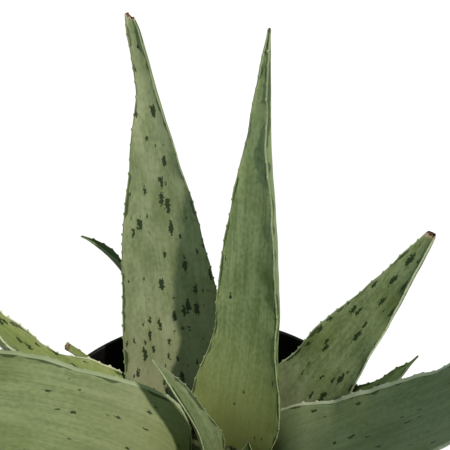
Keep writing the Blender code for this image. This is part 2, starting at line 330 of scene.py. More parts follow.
@dataclass(frozen=True)
class LeafSkin:
    """Aloe leaf skin, grown, under a thin bloom of wax.

    The wax gives a soft, broad sheen over grey-green flesh. Fine veins run lengthwise, dark ragged flecks
    lie along them, and the horny margin shows as a pale band with dark lens-shaped marks just inside it.

    light, dark: the flesh between and along the veins
    heart, foot_shading_share: the foot of the inner face, and how far it takes over there; partly the foot's
    own paler tone and partly painted light and shade, lighter on a foot in cast shadow and darker on one deep
    in the rosette
    back: the outer face
    margin, band, taper, gaps: the pale band, its width, the share lost by the tip and where it breaks off
    line, line_strength: the marks inside the band
    fleck, flecks, fleck_size: the flecks, the share of their cells that holds one, and their size in cells
    fleck_cell, fleck_tear: their cells' size and how far their edges are torn, across and along
    dry, scar, dry_length: the withered tip, its palest edge and its length
    streaks: how much the veins show beside the mottling
    blotch, blotches: the olive of the wide patches where the wax is thin, and how much they show
    """

    light: str = "8E976B"
    dark: str = "76855A"
    heart: str = "7A7C42"
    foot_shading_share: float = 0.5
    back: str = "7C8A5C"
    margin: str = "93A07A"
    band: float = 0.6
    taper: float = 0.5
    gaps: float = 0.7
    line: str = "32451F"
    line_strength: float = 0.85
    fleck: str = "1D3011"
    flecks: float = 0.35
    fleck_size: tuple[float, float] = (0.12, 0.27)
    fleck_cell: tuple[float, float] = (4.0, 11.0)
    fleck_tear: tuple[float, float] = (1.9, 4.0)
    dry: str = "5C6048"
    scar: str = "7C7F66"
    dry_length: float = 1.0
    streaks: float = 0.4
    blotch: str = "5E6E30"
    blotches: float = 0.3

    def material(self, name: str) -> bpy.types.Material:
        """Build the skin's nodes for one leaf.

        The leaf's UV map is in millimetres, across and along. Each pattern divides it by the pattern's
        real size. A map range lists its value, where that starts and ends, and the results there.

        Args:
            name: The material's name.

        Returns:
            The material.
        """
        material, tree = new_material(name)
        place = add_node(tree, "UVMap", uv_map="blade")[0]
        margin, tip, share, outer = (
            add_node(tree, "Attribute", attribute_name=kept)["Fac"]
            for kept in KEPT
        )

        # Noise stretched along the leaf: size across, size along, and detail of each
        noise, tint = {}, {}
        for kind, across, along, detail in (
            ("vein", 0.9, 40, 2.0),
            ("ridge", 3.2, 60, 1.0),
            ("patch", 7, 20, 4.0),
            ("bloom", 1.6, 2.6, 4.0),
            ("crowd", 22, 30, 1.0),
            ("mark", 30, 11, 1.0),
            ("gap", 40, 26, 1.0),
            ("shred", 0.9, 2.4, 2.0),
            ("fray", 1.3, 1.3, 2.0),
        ):
            at = add_node(tree, "VectorMath", (place, (1 / across, 1 / along, 0.0)), operation="MULTIPLY")
            cloud = add_node(tree, "TexNoise", {"Vector": at[0], "Scale": 1.0, "Detail": detail})
            noise[kind], tint[kind] = cloud["Fac"], cloud["Color"]
        shades: Any = 0.0
        for kind, weight in (
            ("vein", self.streaks),
            ("ridge", self.streaks),
            ("patch", 1.0 - 2 * self.streaks),
            ("bloom", 0.45),
        ):
            shades = add_node(tree, "Math", (noise[kind], weight, shades), operation="MULTIPLY_ADD")[0]

        # Flecks: an ellipse in some of the cells of a lattice, more of them where they crowd, with edges
        # torn by the shreds. In a cell without a fleck its size is nought.
        tears = (tint["shred"], (*self.fleck_tear, 0.0), place)
        torn = add_node(tree, "VectorMath", tears, operation="MULTIPLY_ADD")
        cells = (1 / self.fleck_cell[0], 1 / self.fleck_cell[1], 0.0)
        lattice = add_node(tree, "VectorMath", (torn[0], cells), operation="MULTIPLY")
        cell = add_node(tree, "TexVoronoi", {"Vector": lattice[0], "Scale": 1.0}, voronoi_dimensions="2D")
        chance = add_node(tree, "SeparateColor", (cell["Color"],))
        few, many = 0.5 * self.flecks, 1.5 * self.flecks
        crowding = add_node(tree, "MapRange", (noise["crowd"], 0.3, 0.7, few, many))
        there = add_node(tree, "Math", (chance[0], crowding[0]), operation="LESS_THAN")
        small = add_node(tree, "Math", (chance[1], chance[2]), operation="MULTIPLY")
        least, most = self.fleck_size
        size = add_node(tree, "MapRange", (small[0], 0.0, 0.45, 2 * least, 2 * most))[0]
        for factor in (there[0], noise["fray"]):
            size = add_node(tree, "Math", (size, factor), operation="MULTIPLY")[0]
        in_fleck = add_node(tree, "Math", (size, cell["Distance"]), operation="SUBTRACT")[0]

        # The pale band narrows towards the tip and breaks off in the gaps. It narrows towards the foot too,
        # partly as the margin's own growth and partly as painted shade where the foot lies deep in the
        # rosette. Dark marks bulge in from it.
        narrowing = (share, -self.taper * self.band, self.band)
        width = add_node(tree, "Math", narrowing, operation="MULTIPLY_ADD")[0]
        present = add_node(tree, "MapRange", (noise["gap"], 0.4, 0.55, 1 - self.gaps, 1.0))
        # Narrowing by the share along the leaf: partly the margin's growth, partly painted shade near the
        # foot.
        grown = add_node(tree, "MapRange", (share, 0.05, 0.22, 0.4, 1.0))
        for factor in (present[0], grown[0]):
            width = add_node(tree, "Math", (width, factor), operation="MULTIPLY")[0]
        from_band = add_node(tree, "Math", (margin, width), operation="SUBTRACT")[0]
        bulge = add_node(tree, "MapRange", (noise["mark"], 0.48, 0.62, 0.15, 1.7))
        past_mark = add_node(tree, "Math", (from_band, bulge[0]), operation="SUBTRACT")[0]
        dry = self.dry_length
        frayed = add_node(tree, "Math", (noise["fray"], -0.9 * dry, tip), operation="MULTIPLY_ADD")[0]

        # Each layer lies over those above it: its colour, the value that places it, where its share of the
        # colour starts and ends along that value, and the share at those two
        layers = [
            (over, add_node(tree, "MapRange", feeds, interpolation_type="SMOOTHSTEP")[0])
            for over, *feeds in (
                (self.light, shades, 0.55, 0.88, 0.0, 1.0),
                (self.blotch, noise["crowd"], 0.45, 0.7, 0.0, self.blotches),
                (self.back, outer, 0.0, 1.0, 0.0, 0.8),
                # The foot's layer is partly its own paler tone and partly painted light and shade: lightened
                # where a foot lies in cast shadow, darkened where it lies deep in the rosette.
                (self.heart, share, 0.05, 0.4, self.foot_shading_share, 0.0),
                (self.fleck, in_fleck, 0.0, 0.06, 0.0, 0.95),
                (self.line, past_mark, -0.3, 0.25, self.line_strength, 0.0),
                (self.margin, from_band, -0.15, 0.15, 0.95, 0.0),
                (self.dry, frayed, 0.35 * dry, 0.65 * dry, 1.0, 0.0),
                (self.scar, frayed, -0.2 * dry, 0.1 * dry, 1.0, 0.0),
            )
        ]

        # The wax is a little patchy, and the veins stand up by a few hundredths of a millimetre
        rough = add_node(tree, "MapRange", (noise["patch"], 0.3, 0.7, 0.4, 0.54))
        relief = add_node(tree, "Math", (noise["vein"], noise["ridge"]), operation="ADD")
        end_material(tree, self.dark, layers, rough[0], relief[0], depth=0.08, strength=0.5, ior=1.42)
        return material


class Tip(Enum):
    """How a leaf ends."""

    POINTED = "pointed"
    BROKEN = "broken"


@dataclass(frozen=True)
class Leaf:
    """One leaf of the rosette. Its sizes down to the thickness, and tip_half_width, repeat the part's source.

    foot: where the midrib meets the crown, on plan
    heading, turn: direction of the foot on plan from +X, and how far the tip has turned from it
    climb: slope of the midrib above level at CLIMB_AT
    length: length along the midrib
    roll: how far the blade is turned about its midrib at the foot and at the tip
    half_widths, tip_half_width: half the width across the curved face at WIDTH_AT, the tip's last
    folds: half the angle through which the section curves at FOLD_AT
    thickness: thickness at the midrib near the foot
    seed: seed of its teeth, waves and pattern
    ring: steps across each face
    wave: how far the margins sway
    tooth: the tallest tooth
    pitch: spacing of the skin's points along the leaf
    foot_sink: how far the skin goes down into the crown
    rim_bead: how far the pale band stands up
    cut: how much shorter the right half is than the left where the tip has broken off aslant
    flesh: the share of the hollow between the margins that flesh fills
    point: length over which a whole tip draws in to a thorn
    """

    name: str
    foot: tuple[float, float]
    heading: float
    turn: float
    climb: tuple[float, ...]
    length: float
    roll: tuple[float, float]
    half_widths: tuple[float, ...]
    folds: tuple[float, ...]
    thickness: float
    seed: int
    skin: LeafSkin
    tip_half_width: float = 0.8
    tip: Tip = Tip.POINTED
    ring: int = 34
    wave: float = 0.8
    tooth: float = 0.95
    pitch: float = 0.5
    foot_sink: float = 1.5
    rim_bead: float = 0.18
    cut: float = 0.0
    flesh: float = 0.5
    point: float = 12.0

    def midrib(self, along: np.ndarray) -> tuple[np.ndarray, np.ndarray, np.ndarray]:
        """Follow the midrib, and turn the blade's two directions about it.

        Each step goes along the heading at the climb's slope. The blade faces the side that is square to
        the step and to the level line across it, and is then rolled about the step.

        Args:
            along: Evenly spaced places from 0 at the foot to 1 at the tip.

        Returns:
            The midrib's points, and the crosswise and facing directions at each.
        """
        heading = np.radians(self.heading + self.turn * along)
        climb = np.radians(smooth_through(CLIMB_AT, self.climb, along))
        level = np.stack([np.cos(heading), np.sin(heading), 0 * along], -1)
        forward = np.cos(climb)[:, None] * level + np.sin(climb)[:, None] * np.array([0.0, 0.0, 1.0])
        steps = (forward[1:] + forward[:-1]) / 2 * self.length / (len(along) - 1)
        foot = np.array([*self.foot, float(crown_height(*self.foot)) - FOOT_BELOW_CROWN])
        points = foot + np.concatenate([np.zeros((1, 3)), np.cumsum(steps, 0)])
        across = np.stack([-np.sin(heading), np.cos(heading), 0 * along], -1)
        facing = np.cross(forward, across)
        roll = np.radians(self.roll[0] + (self.roll[1] - self.roll[0]) * along)[:, None]
        crosswise = np.cos(roll) * across + np.sin(roll) * facing
        return points, crosswise, np.cos(roll) * facing - np.sin(roll) * across

    def teeth(self, distance: np.ndarray, dice: np.random.Generator) -> np.ndarray:
        """Give the height of one margin's teeth: each rises slowly towards the tip, then drops.

        Args:
            distance: Places along the leaf.
            dice: The leaf's source of chance, for the gaps between teeth and for their heights.

        Returns:
            The height at each place.
        """
        peaks = np.cumsum(dice.uniform(*TOOTH_GAPS, int(self.length / TOOTH_GAPS[0])))
        on_leaf = peaks < self.length - TOOTH_GAPS[0]
        heights = self.tooth * dice.uniform(*TOOTH_SIZES, len(peaks)) * on_leaf
        before = peaks[None] - distance[:, None]
        shape = np.clip(1 - np.where(before > 0, before / TOOTH_RISE, -before / TOOTH_DROP), 0, 1)
        return (heights[None] * shape).max(1)

    def sway(self, distance: np.ndarray, dice: np.random.Generator) -> np.ndarray:
        """Give how far one margin sways: sines of shorter and shorter waves, less near either end."""
        waves = sum(
            size * np.sin(2 * math.pi * distance / length + phase)
            for (size, length), phase in zip(WAVES, dice.uniform(0, 2 * math.pi, len(WAVES)))
        )
        foot, tip = WAVES_FADE
        ends = smooth_step(0, foot, distance) * smooth_step(self.length, self.length - tip, distance)
        return self.wave * waves * ends

    def blade(self, along: np.ndarray, around: np.ndarray) -> tuple[np.ndarray, np.ndarray, np.ndarray]:
        """Work out the closed skin of the blade as a grid, places along it by places round it.

        The blade's section is an arc across the midrib. Its hollow is partly filled by flesh under the
        inner face. The back stands off the arc by the leaf's thickness, which is most at the midrib. Both
        faces round over to meet at the margins. Teeth push the margins out, and slow waves and low lumps
        shift the skin. A whole tip draws in to a thorn, and a broken one is torn, perhaps aslant.

        Args:
            along: Places along the leaf from 0 to 1.
            around: Places round the section.

        Returns:
            The grid of points, its distance from the nearer margin, and half the blade's width.
        """
        dice = np.random.default_rng(self.seed)
        distance = along * self.length
        points, across, facing = self.midrib(along)
        forward = np.gradient(points, axis=0)
        forward /= np.linalg.norm(forward, axis=1, keepdims=True)
        pointed = self.tip is Tip.POINTED
        end = max(self.tip_half_width, WHOLE_END) if pointed else BROKEN_END
        into_end = np.clip((distance - self.length + end) / end, 0, 1)
        close = np.maximum(np.sqrt(1 - into_end**2), LEFT_OPEN)
        if pointed:
            close = close * (1 - THORN * smooth_step(self.length - self.point, self.length, distance))
        half = smooth_through(WIDTH_AT, (*self.half_widths, self.tip_half_width), along) * close
        fold = np.radians(smooth_through(FOLD_AT, self.folds, along))[:, None]
        side = np.where(around <= 1, around, 2 - around)[None]
        back = (around > 1)[None]
        margin = (1 - np.abs(side)) * half[:, None]
        angle = side * fold
        radius = half[:, None] / fold
        x, rise = radius * np.sin(angle), radius * (1 - np.cos(angle))
        rise = rise + np.where(back, 0, self.flesh) * (radius * (1 - np.cos(fold)) - rise)
        rim = MARGIN_THICKNESS / 2
        body = np.sqrt(1 - np.abs(side) ** SQUARENESS)
        thinning = np.minimum(1, (1 - along) * THINNING_START) ** THINNING_POWER
        middle = (self.thickness - MARGIN_THICKNESS) * thinning[:, None]
        off_bead = (margin / self.skin.band - BEAD_PLACE) / BEAD_WIDTH
        raised = self.rim_bead * np.exp(-(off_bead**2))
        drawn_in = close[:, None] ** FULLNESS
        depth = np.where(back, rim * body + middle * (1 - side**2), -rim * body - raised)
        spread = grain(side * half[:, None], distance[:, None] + 0 * side, LUMP_CELL, self.seed)
        depth = rim + depth * drawn_in + LUMP_HEIGHT * spread * smooth_step(0, LUMP_EASE, margin)
        left, right = self.sway(distance, dice)[:, None], self.sway(distance, dice)[:, None]
        rise = rise + np.where(side < 0, left, right) * np.abs(side) ** 3
        left, right = self.teeth(distance, dice)[:, None], self.teeth(distance, dice)[:, None]
        tooth = np.where(side < 0, left, right) * np.clip(1 - margin / TOOTH_REACH, 0, 1)
        x = x + tooth * np.sign(side) * np.cos(angle)
        rise = rise + tooth * np.abs(np.sin(angle))
        lean = TOOTH_LEAN * tooth
        if not pointed:
            shreds = np.sin(7 * side + self.seed) + 0.6 * np.sin(17 * side + 2 * self.seed) - 0.8
            aslant = 0.5 * self.cut * (1 - side)
            reach = TORN_REACH + 2 * self.cut
            near_end = smooth_step(self.length - reach, self.length, distance)[:, None]
            lean = lean + (TORN_DEPTH * shreds - aslant) * near_end
        x = x + depth * np.sin(angle)
        rise = rise - depth * np.cos(angle)
        grid = points[:, None] + x[..., None] * across[:, None] + rise[..., None] * facing[:, None]
        return grid + lean[..., None] * forward[:, None], margin, half

    def rising(self, grid: np.ndarray) -> np.ndarray:
        """Find where each lengthwise line comes up out of the crown, and space its places from there.

        Args:
            grid: The blade's points.

        Returns:
            For each point of the new grid, its place among the old rows.
        """
        rows = len(grid)
        clear = grid[..., 2] - crown_height(grid[..., 0], grid[..., 1]) + self.foot_sink
        below = clear[: rows // 2] < 0
        last = np.where(below.any(0), len(below) - 1 - np.argmax(below[::-1], 0), 0)
        column = np.arange(grid.shape[1])
        under, over = clear[last, column], clear[last + 1, column]
        start = np.where(below.any(0), last + under / (under - over), 0.0)
        return start + (rows - 1 - start) * np.linspace(0, 1, rows)[:, None]

    def build(self) -> bpy.types.Object:
        """Make the leaf's mesh, with its map in millimetres and its distances, and give it its skin.

        Places round a section run from -1 to 1 over the inner face and on to 3 over the back. They are the
        sines of even angles, so they stand closest at the margins.
        """
        along = np.linspace(0, 1, round(self.length / self.pitch) + 1)
        sine = np.sin(np.linspace(-math.pi / 2, math.pi / 2, self.ring + 1))
        around = np.concatenate([sine, 2 + sine[1:]])
        grid, margin, half = self.blade(along, around[:-1])
        place = self.rising(grid)
        lower = np.minimum(place.astype(int), len(along) - 2)
        t, column = place - lower, np.arange(grid.shape[1])
        points = grid[lower, column] * (1 - t)[..., None] + grid[lower + 1, column] * t[..., None]
        margin = margin[lower, column] * (1 - t) + margin[lower + 1, column] * t
        share = place / (len(along) - 1)
        blade = new_piece(f"{self.name}_blade", *closed_skin(points))
        values = (
            (margin, 0.0, 0.0),
            ((1 - share) * self.length, self.length, 0.0),
            (share, 0.0, 1.0),
            (0 * share + (around[:-1] > 1), 0.0, 0.0),
        )
        for kept, (inside, *ends) in zip(KEPT, values):
            attribute = blade.data.attributes.new(kept, "FLOAT", "POINT")
            attribute.data.foreach_set("value", np.append(inside, ends).astype(np.float32))
        closed = np.concatenate([share, share[:, :1]], 1)
        across = around * np.interp(closed, along, half) + PATTERN_STEP[0] * self.seed
        drawn = np.stack([across, closed * self.length + PATTERN_STEP[1] * self.seed], -1)
        corners = np.stack([drawn[:-1, :-1], drawn[1:, :-1], drawn[1:, 1:], drawn[:-1, 1:]], 2)
        first, last = drawn[0], drawn[-1]
        start = np.stack([(first[:-1] + first[1:]) / 2, first[:-1], first[1:]], 1)
        end = np.stack([(last[:-1] + last[1:]) / 2, last[1:], last[:-1]], 1)
        spots = np.concatenate([part.ravel() for part in (corners, start, end)])
        blade.data.uv_layers.new(name="blade").data.foreach_set("uv", spots.astype(np.float32))
        blade.data.materials.append(self.skin.material(f"{self.name}, waxy leaf skin"))
        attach(blade, "root")
        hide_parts(self.name)
        return blade


def turned(profile: np.ndarray, segments: int, centre: tuple[float, float] = (0.0, 0.0)) -> np.ndarray:
    """Turn a profile about an upright axis: each point becomes a level ring of even angles.

    Args:
        profile: Points of radius and height, from the top's middle outwards, down and in below.
        segments: Points in a ring.
        centre: The axis on plan.

    Returns:
        The grid of points, rings by places round them.
    """
    angle = np.linspace(0, 2 * math.pi, segments, endpoint=False)[None]
    radius, height = profile[:, :1], profile[:, 1:] + 0 * angle
    return np.stack([centre[0] + radius * np.cos(angle), centre[1] + radius * np.sin(angle), height], -1)


def eased(corners: Sequence[tuple[float, float, float]], steps: int = 5) -> np.ndarray:
    """Round the corners of a profile.

    Each corner becomes a curve that leaves and reaches its two sides at its own distance from the corner,
    the quadratic one through those points that aims at the corner.

    Args:
        corners: Radius, height and easing distance of each corner.
        steps: Points on a curve, less one.

    Returns:
        The profile's points.
    """
    spots = np.array([corner[:2] for corner in corners])
    t = np.linspace(0, 1, steps + 1)[:, None]
    profile = [spots[:1]]
    for before, here, after, corner in zip(spots, spots[1:], spots[2:], corners[1:]):
        start = here + corner[2] * (before - here) / np.linalg.norm(before - here)
        end = here + corner[2] * (after - here) / np.linalg.norm(after - here)
        profile.append((1 - t) ** 2 * start + 2 * t * (1 - t) * here + t**2 * end)
    return np.concatenate([*profile, spots[-1:]])


@dataclass(frozen=True)
class MouldedPolypropylene:
    """Polypropylene, injection-moulded, black.

    The tool leaves a satin skin with the faintest ripple. Handling and watering leave a thin grey-brown
    film, most where water dries.
    """

    black: str = "0B0B0C"
    film: str = "3A352E"
    film_share: float = 0.1

    def material(self) -> bpy.types.Material:
        """Build the nodes: a film of dust in patches about 12 mm across, over ripple 2 mm apart."""
        material, tree = new_material("Black polypropylene, injection-moulded")
        place = add_node(tree, "TexCoord")["Object"]
        patch, ripple = (
            add_node(tree, "TexNoise", {"Vector": place, "Scale": 1 / (size * MM), "Detail": detail})["Fac"]
            for size, detail in ((12, 5.0), (2, 2.0))
        )
        film = add_node(tree, "MapRange", (patch, 0.45, 0.75, 0.0, self.film_share))
        rough = add_node(tree, "MapRange", (patch, 0.3, 0.7, 0.34, 0.5))
        layers = [(self.film, film[0])]
        end_material(tree, self.black, layers, rough[0], ripple, depth=0.05, strength=0.4, ior=1.49)
        return material


@dataclass(frozen=True)
class Pot:
    """The thin black pot: a tapered wall under a stepped collar with a rolled lip, and drain holes."""

    segments: int = 192
    holes: int = 6
    hole_radius: float = 4.5
    hole_circle: float = 38.0
    first_hole: float = 18.0
    hole_segments: int = 40
    foot_width: float = 6.0
    foot_step: float = 0.6
    finish: MouldedPolypropylene = MouldedPolypropylene()

    def profile(self) -> np.ndarray:
        """Trace the wall from the middle of the floor inside, up over the lip and down to the underside."""
        collar, collar_radius = POT_HEIGHT - COLLAR_HEIGHT, RIM_RADIUS - COLLAR_TAPER
        foot = BASE_RADIUS - self.foot_width
        return eased(
            (
                (1.0, FLOOR, 0.0),
                (wall_radius(FLOOR) - WALL, FLOOR, 1.5),
                (wall_radius(collar) - WALL, collar - WALL, 0.8),
                (collar_radius - WALL, collar + COLLAR_STEP + WALL, 0.8),
                (RIM_RADIUS - 2.0, POT_HEIGHT, 0.9),
                (RIM_RADIUS, POT_HEIGHT, 0.9),
                (RIM_RADIUS, POT_HEIGHT - 2.6, 0.8),
                (collar_radius + 0.3, POT_HEIGHT - 3.4, 0.5),
                (collar_radius, collar + COLLAR_STEP, 0.7),
                (wall_radius(collar), collar, 0.7),
                (BASE_RADIUS, 0.0, 4.0),
                (foot, 0.0, 0.3),
                (foot - 0.4, self.foot_step, 0.3),
                (1.0, self.foot_step, 0.0),
            )
        )

    def build(self) -> bpy.types.Object:
        """Turn the wall, cut the drain holes through its floor, and dress it."""
        pot = new_piece("pot_wall", *closed_skin(turned(self.profile(), self.segments)))
        for index in range(self.holes):
            angle = math.radians(self.first_hole + 360 * index / self.holes)
            centre = (self.hole_circle * math.cos(angle), self.hole_circle * math.sin(angle))
            bore = np.array([[0.5, 1], [self.hole_radius, 1], [self.hole_radius, -1], [0.5, -1]])
            bore[:, 1] *= 2 * FLOOR
            cut = pot.modifiers.new("drain", "BOOLEAN")
            cut.object = new_piece(f"drain_{index}", *closed_skin(turned(bore, self.hole_segments, centre)))
        bpy.context.view_layer.update()
        whole = bpy.data.meshes.new_from_object(pot.evaluated_get(bpy.context.evaluated_depsgraph_get()))
        for cut in list(pot.modifiers):
            cutter = cut.object
            pot.modifiers.remove(cut)
            bpy.data.objects.remove(cutter, do_unlink=True)
        pot.data = whole
        whole.set_sharp_from_angle(angle=math.radians(40))
        whole.materials.clear()
        whole.materials.append(self.finish.material())
        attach(pot, "root")
        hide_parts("pot")
        return pot


@dataclass(frozen=True)
class PottingMix:
    """Peat and composted bark, pressed by hand and watered: dark, crumbly and dull, with paler bark."""

    peat: str = "1C140E"
    bark: str = "4A3625"
    grit: str = "6E5E4A"

    def material(self) -> bpy.types.Material:
        """Build the nodes: crumbs 1.5 mm across in patches of damp 14 mm across, one in twenty of grit."""
        material, tree = new_material("Peat and bark potting mix, pressed")
        place = add_node(tree, "TexCoord")["Object"]
        damp = add_node(tree, "TexNoise", {"Vector": place, "Scale": 1 / (14 * MM), "Detail": 2.0})
        crumb = add_node(tree, "TexVoronoi", {"Vector": place, "Scale": 1 / (1.5 * MM)})
        shade = add_node(tree, "SeparateColor", (crumb["Color"],))
        share = add_node(tree, "Math", (shade[0], damp["Fac"]), operation="MULTIPLY")
        rare = add_node(tree, "Math", (shade[1], 0.95), operation="GREATER_THAN")
        layers = [(self.bark, share[0]), (self.grit, rare[0])]
        end_material(tree, self.peat, layers, 0.92, crumb["Distance"], depth=0.5, strength=0.8)
        return material


@dataclass(frozen=True)
class Soil:
    """The potting mix that fills the pot and is heaped over the crown between the leaves.

    level: about how high it stands at the wall
    lumps: height, spacing and seed of each sort of lump on its top
    """

    segments: int = 288
    rings: int = 110
    chips: int = 620
    seed: int = 7
    level: float = 100.0
    lumps: tuple[tuple[float, float, int], ...] = ((0.9, 9, 1), (0.6, 4, 2), (0.35, 1.8, 3))
    finish: PottingMix = PottingMix()

    def surface(self, x: np.ndarray, y: np.ndarray) -> np.ndarray:
        """Give the soil's height: the crown's cone under the lumps, dished round the stem."""
        lumps = sum(height * grain(x, y, cell, seed) for height, cell, seed in self.lumps)
        from_stem = np.hypot(x - CROWN_CENTRE[0], y - CROWN_CENTRE[1])
        return crown_height(x, y) + 0.7 + lumps - 3.5 * smooth_step(30, 16, from_stem)

    def body(self) -> np.ndarray:
        """Work out the soil's skin as rings: out over the top, down the wall and in under the floor."""
        edge = wall_radius(POT_HEIGHT - CROWN_BELOW_RIM - CROWN_DROP) - WALL - GAP
        low = FLOOR + GAP
        low_edge = wall_radius(low) - WALL - GAP
        top = np.stack([np.linspace(0.4, edge, self.rings), np.full(self.rings, self.level)], -1)
        side = np.linspace((edge, self.level), (low_edge, low), 12)[1:]
        under = np.array([[low_edge / 2, low], [1.0, low]])
        grid = turned(np.concatenate([top, side, under]), self.segments)
        grid[: self.rings, :, 2] = self.surface(grid[: self.rings, :, 0], grid[: self.rings, :, 1])
        return grid

    def scatter(self) -> tuple[np.ndarray, np.ndarray]:
        """Strew bark chips: stretched, dented twenty-sided lumps, each turned its own way, half sunk.

        Returns:
            The points and three-sided faces of all the chips.
        """
        dice = np.random.default_rng(self.seed)
        golden = (1 + math.sqrt(5)) / 2
        corner = [(0, b, c * golden) for b in (-1, 1) for c in (-1, 1)]
        corner = np.array([np.roll(p, k) for p in corner for k in range(3)]) / math.hypot(1, golden)
        apart = np.linalg.norm(corner[:, None] - corner[None], axis=-1)
        near = (apart > 0.1) & (apart < 1.2)
        i, j, k = np.nonzero(near[:, :, None] & near[:, None, :] & near[None])
        faces = np.stack([i, j, k], -1)[(i < j) & (j < k)]
        turned_in = np.linalg.det(corner[faces]) < 0
        faces[turned_in] = faces[turned_in][:, ::-1]
        edge = wall_radius(self.level) - WALL - 4
        away = edge * np.sqrt(dice.uniform(0, 1, self.chips))
        angle = dice.uniform(0, 2 * math.pi, self.chips)
        x, y = away * np.cos(angle), away * np.sin(angle)
        size = dice.uniform(0.6, 2.0, (self.chips, 1, 1)) * dice.uniform(0.35, 1.0, (self.chips, 1, 3))
        lumps = corner[None] * size * dice.uniform(0.8, 1.2, (self.chips, len(corner), 1))
        axes = np.linalg.qr(dice.normal(size=(self.chips, 3, 3)))[0]
        axes *= np.sign(np.linalg.det(axes))[:, None, None]
        lumps = np.einsum("nij,nkj->nki", axes, lumps)
        lumps += np.stack([x, y, self.surface(x, y) + 0.1], -1)[:, None]
        numbers = faces[None] + len(corner) * np.arange(self.chips)[:, None, None]
        return lumps.reshape(-1, 3), numbers.reshape(-1, 3)

    def build(self) -> bpy.types.Object:
        """Make the soil with its chips in one piece, and dress it."""
        points, faces = closed_skin(self.body())
        chips, chip_faces = self.scatter()
        whole = np.concatenate([points, chips])
        soil = new_piece("potting_mix", whole, [*faces, chip_faces + len(points)])
        soil.data.set_sharp_from_angle(angle=math.radians(35))
        soil.data.materials.append(self.finish.material())
        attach(soil, "root")
        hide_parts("soil")
        return soil


@dataclass(frozen=True)
class StemSkin:
    """Short aloe stem, grown: ringed with the torn bases of old leaves, still green inside.

    pale, dark: the bases' edges and the flesh between them
    """

    pale: str = "56603A"
    dark: str = "26301A"

    def material(self) -> bpy.types.Material:
        """Build the nodes: papery streaks 1.2 mm across and four times as long, dark in the folds."""
        material, tree = new_material("Aloe stem, corky")
        place = add_node(tree, "TexCoord")["Object"]
        at = add_node(tree, "VectorMath", (place, (1.0, 1.0, 0.25)), operation="MULTIPLY")
        feeds = {"Vector": at[0], "Scale": 1 / (1.2 * MM), "Detail": 4.0}
        streak = add_node(tree, "TexNoise", feeds)["Fac"]
        end_material(tree, self.dark, [(self.pale, streak)], 0.75, streak, depth=0.3, strength=0.6)
        return material


@dataclass(frozen=True)
class Stem:
    """The short stem at the heart of the rosette, from its scaly top down into the soil.

    waist, toe: the radius at two places further down, and how deep each is below the crown's edge
    """

    radius: float = 31.0
    waist: tuple[float, float] = (30.0, 38.0)
    toe: tuple[float, float] = (14.0, 72.0)
    segments: int = 160
    rings: int = 64
    scale_rise: float = 0.9
    finish: StemSkin = StemSkin()

    def build(self) -> bpy.types.Object:
        """Turn the stem, then lift its top into overlapping scales.

        A scale is where two families of spirals cross: the product of two cosines, of eight and of five
        arms, that wind opposite ways as they go out.
        """
        edge = POT_HEIGHT - CROWN_BELOW_RIM - CROWN_DROP
        out = np.linspace(0.4, self.radius, self.rings)
        top = np.stack([out, 0 * out], -1)
        corners = ((self.radius + 0.5, 3), (self.radius, 12), self.waist, self.toe, (1.0, self.toe[1] + 0.5))
        below = np.array([(radius, edge - depth) for radius, depth in corners])
        grid = turned(np.concatenate([top, below]), self.segments, CROWN_CENTRE)
        x, y = grid[: self.rings, :, 0], grid[: self.rings, :, 1]
        angle = np.arctan2(y - CROWN_CENTRE[1], x - CROWN_CENTRE[0])
        spiral = np.cos(4 * angle - 0.35 * out[:, None]) * np.cos(2.5 * angle + 0.5 * out[:, None])
        scales = self.scale_rise * np.abs(spiral) * smooth_step(0, 6, out)[:, None]
        grid[: self.rings, :, 2] = crown_height(x, y) - 1.0 + scales
        stem = new_piece("stem_heart", *closed_skin(grid))
        stem.data.materials.append(self.finish.material())
        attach(stem, "root")
        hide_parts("stem")
        return stem


